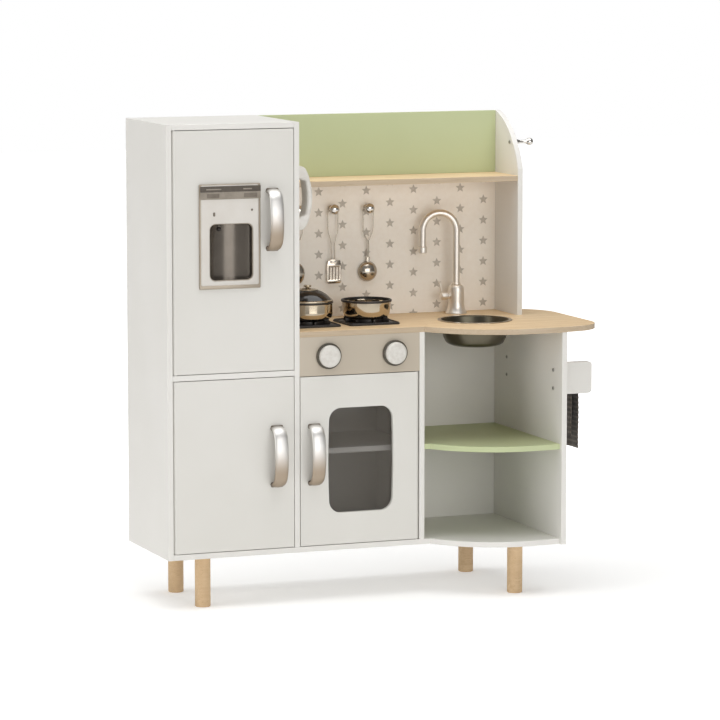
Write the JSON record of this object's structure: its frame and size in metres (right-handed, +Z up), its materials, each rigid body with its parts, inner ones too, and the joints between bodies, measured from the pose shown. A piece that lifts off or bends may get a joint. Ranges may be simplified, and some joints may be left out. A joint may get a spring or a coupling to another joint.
{
  "type": "toy kitchen",
  "caption": "Play kitchen with fridge column, oven, hob, corner sink with curved worktop, shelves, hanging utensils and toy telephone on round wooden legs.",
  "frame": {"origin": "middle of the bottom of the whole object's box, on the floor", "axes": "+Z up, +Y from the doors to the back, +X to the right when facing the doors"},
  "size_m": [0.976, 0.4, 1.045],
  "materials": {
    "white_board": "painted warm white, satin",
    "sage_board": "painted sage green, satin",
    "light_wood": "light beech print, satin",
    "star_board": "beige print with small grey stars, satin",
    "leg_wood": "turned light wood, oiled",
    "taupe_board": "taupe metallic lacquer",
    "smoked_pane": "smoked clear pane",
    "satin_handle": "satin silver lacquer",
    "steel": "plain steel",
    "white_plastic": "moulded white",
    "silver_plastic": "satin silver",
    "dark_plastic": "dark grey moulded",
    "black_plastic": "black moulded",
    "knob_plastic": "silver white cap on a dark skirt",
    "pot_steel": "polished steel",
    "chrome": "polished",
    "towel_cloth": "ribbed charcoal weave"
  },
  "bodies": {
    "carcass": {"backsplash_panel": "star_board", "base_board": "white_board", "coat_hook": "chrome", "control_panel": "taupe_board", "corner_shelf": "sage_board", "divider_panel": "white_board", "fridge_back_panel": "white_board", "fridge_left_side": "white_board", "fridge_middle_board": "white_board", "fridge_right_side": "white_board", "fridge_top": "white_board", "left_burner": "black_plastic", "legs": "leg_wood", "lower_back_panel": "white_board", "magnet_catches": "white_plastic", "oven_shelf": "white_board", "phone_cradle": "white_plastic", "rail_brackets": "white_board", "right_burner": "black_plastic", "right_side_panel": "white_board", "side_screws": "steel", "tap_base": "chrome", "tap_nut": "black_plastic", "top_back_panel": "sage_board", "towel": "towel_cloth", "towel_rail": "chrome", "upper_right_side": "white_board", "upper_shelf": "light_wood", "utensil_hooks": "chrome", "worktop": "light_wood"},
    "upper_door": {"upper_fridge_door": "white_board", "upper_door_pivot_pins": "steel", "upper_door_handle": "satin_handle", "upper_door_handle_screws": "steel", "dispenser_frame": "silver_plastic", "dispenser_recess": "dark_plastic", "dispenser_nozzle": "black_plastic", "dispenser_display": "black_plastic"},
    "lower_door": {"lower_fridge_door": "white_board", "lower_door_pivot_pins": "steel", "lower_door_handle": "satin_handle", "lower_door_handle_screws": "steel"},
    "oven_door_leaf": {"oven_door": "white_board", "oven_window": "smoked_pane", "oven_door_pivot_pins": "steel", "oven_door_handle": "satin_handle", "oven_door_handle_screws": "steel"},
    "left_dial": {"left_knob": "knob_plastic"},
    "right_dial": {"right_knob": "knob_plastic"},
    "spout": {"tap_spout": "chrome"},
    "lever": {"tap_lever": "chrome"},
    "handset": {"phone_handset": "white_plastic"},
    "pot_body": {"pot": "pot_steel"},
    "lid": {"pot_lid": "pot_steel"},
    "pan_body": {"pan": "pot_steel"},
    "bowl": {"sink_bowl": "pot_steel"},
    "turner_body": {"turner": "chrome"},
    "ladle_body": {"ladle": "chrome"},
    "spoon_body": {"serving_spoon": "chrome"}
  },
  "joints": [
    {"name": "upper_door_hinge", "type": "hinge", "parent": "carcass", "child": "upper_door", "pos_m": [-0.4685, -0.072, 0.77], "axis": [0, 0, -1], "range_deg": [0, 100]},
    {"name": "lower_door_hinge", "type": "hinge", "parent": "carcass", "child": "lower_door", "pos_m": [-0.4685, -0.072, 0.31], "axis": [0, 0, -1], "range_deg": [0, 100]},
    {"name": "oven_door_hinge", "type": "hinge", "parent": "carcass", "child": "oven_door_leaf", "pos_m": [0.0835, -0.072, 0.31], "axis": [0, 0, 1], "range_deg": [0, 100]},
    {"name": "left_knob_turn", "type": "hinge", "parent": "carcass", "child": "left_dial", "pos_m": [-0.122, -0.078, 0.5385], "axis": [0, -1, 0], "range_deg": [0, 270]},
    {"name": "right_knob_turn", "type": "hinge", "parent": "carcass", "child": "right_dial", "pos_m": [0.032, -0.078, 0.5385], "axis": [0, -1, 0], "range_deg": [0, 270]},
    {"name": "spout_swivel", "type": "hinge", "parent": "carcass", "child": "spout", "pos_m": [0.267, 0.137, 0.7], "axis": [0, 0, 1], "range_deg": [0, 170]},
    {"name": "tap_lever_turn", "type": "hinge", "parent": "carcass", "child": "lever", "pos_m": [0.232, 0.137, 0.6335], "axis": [1, 0, 0], "range_deg": [0, 70]},
    {"name": "handset_lift", "type": "slide", "parent": "carcass", "child": "handset", "axis": [1, 0, 0], "range_m": [0, 0.08]},
    {"name": "pot_lift", "type": "slide", "parent": "carcass", "child": "pot_body", "axis": [0, 0, 1], "range_m": [0, 0.07]},
    {"name": "lid_lift", "type": "slide", "parent": "pot_body", "child": "lid", "axis": [0, 0, 1], "range_m": [0, 0.04]},
    {"name": "pan_lift", "type": "slide", "parent": "carcass", "child": "pan_body", "axis": [0, 0, 1], "range_m": [0, 0.08]},
    {"name": "sink_lift", "type": "slide", "parent": "carcass", "child": "bowl", "axis": [0, 0, 1], "range_m": [0, 0.08]},
    {"name": "turner_swing", "type": "hinge", "parent": "carcass", "child": "turner_body", "pos_m": [-0.017, 0.169, 0.834], "axis": [0, 1, 0], "range_deg": [-12, 12]},
    {"name": "ladle_swing", "type": "hinge", "parent": "carcass", "child": "ladle_body", "pos_m": [0.067, 0.169, 0.834], "axis": [0, 1, 0], "range_deg": [-12, 12]},
    {"name": "spoon_swing", "type": "hinge", "parent": "carcass", "child": "spoon_body", "pos_m": [-0.101, 0.169, 0.834], "axis": [0, 1, 0], "range_deg": [-12, 12]}
  ]
}
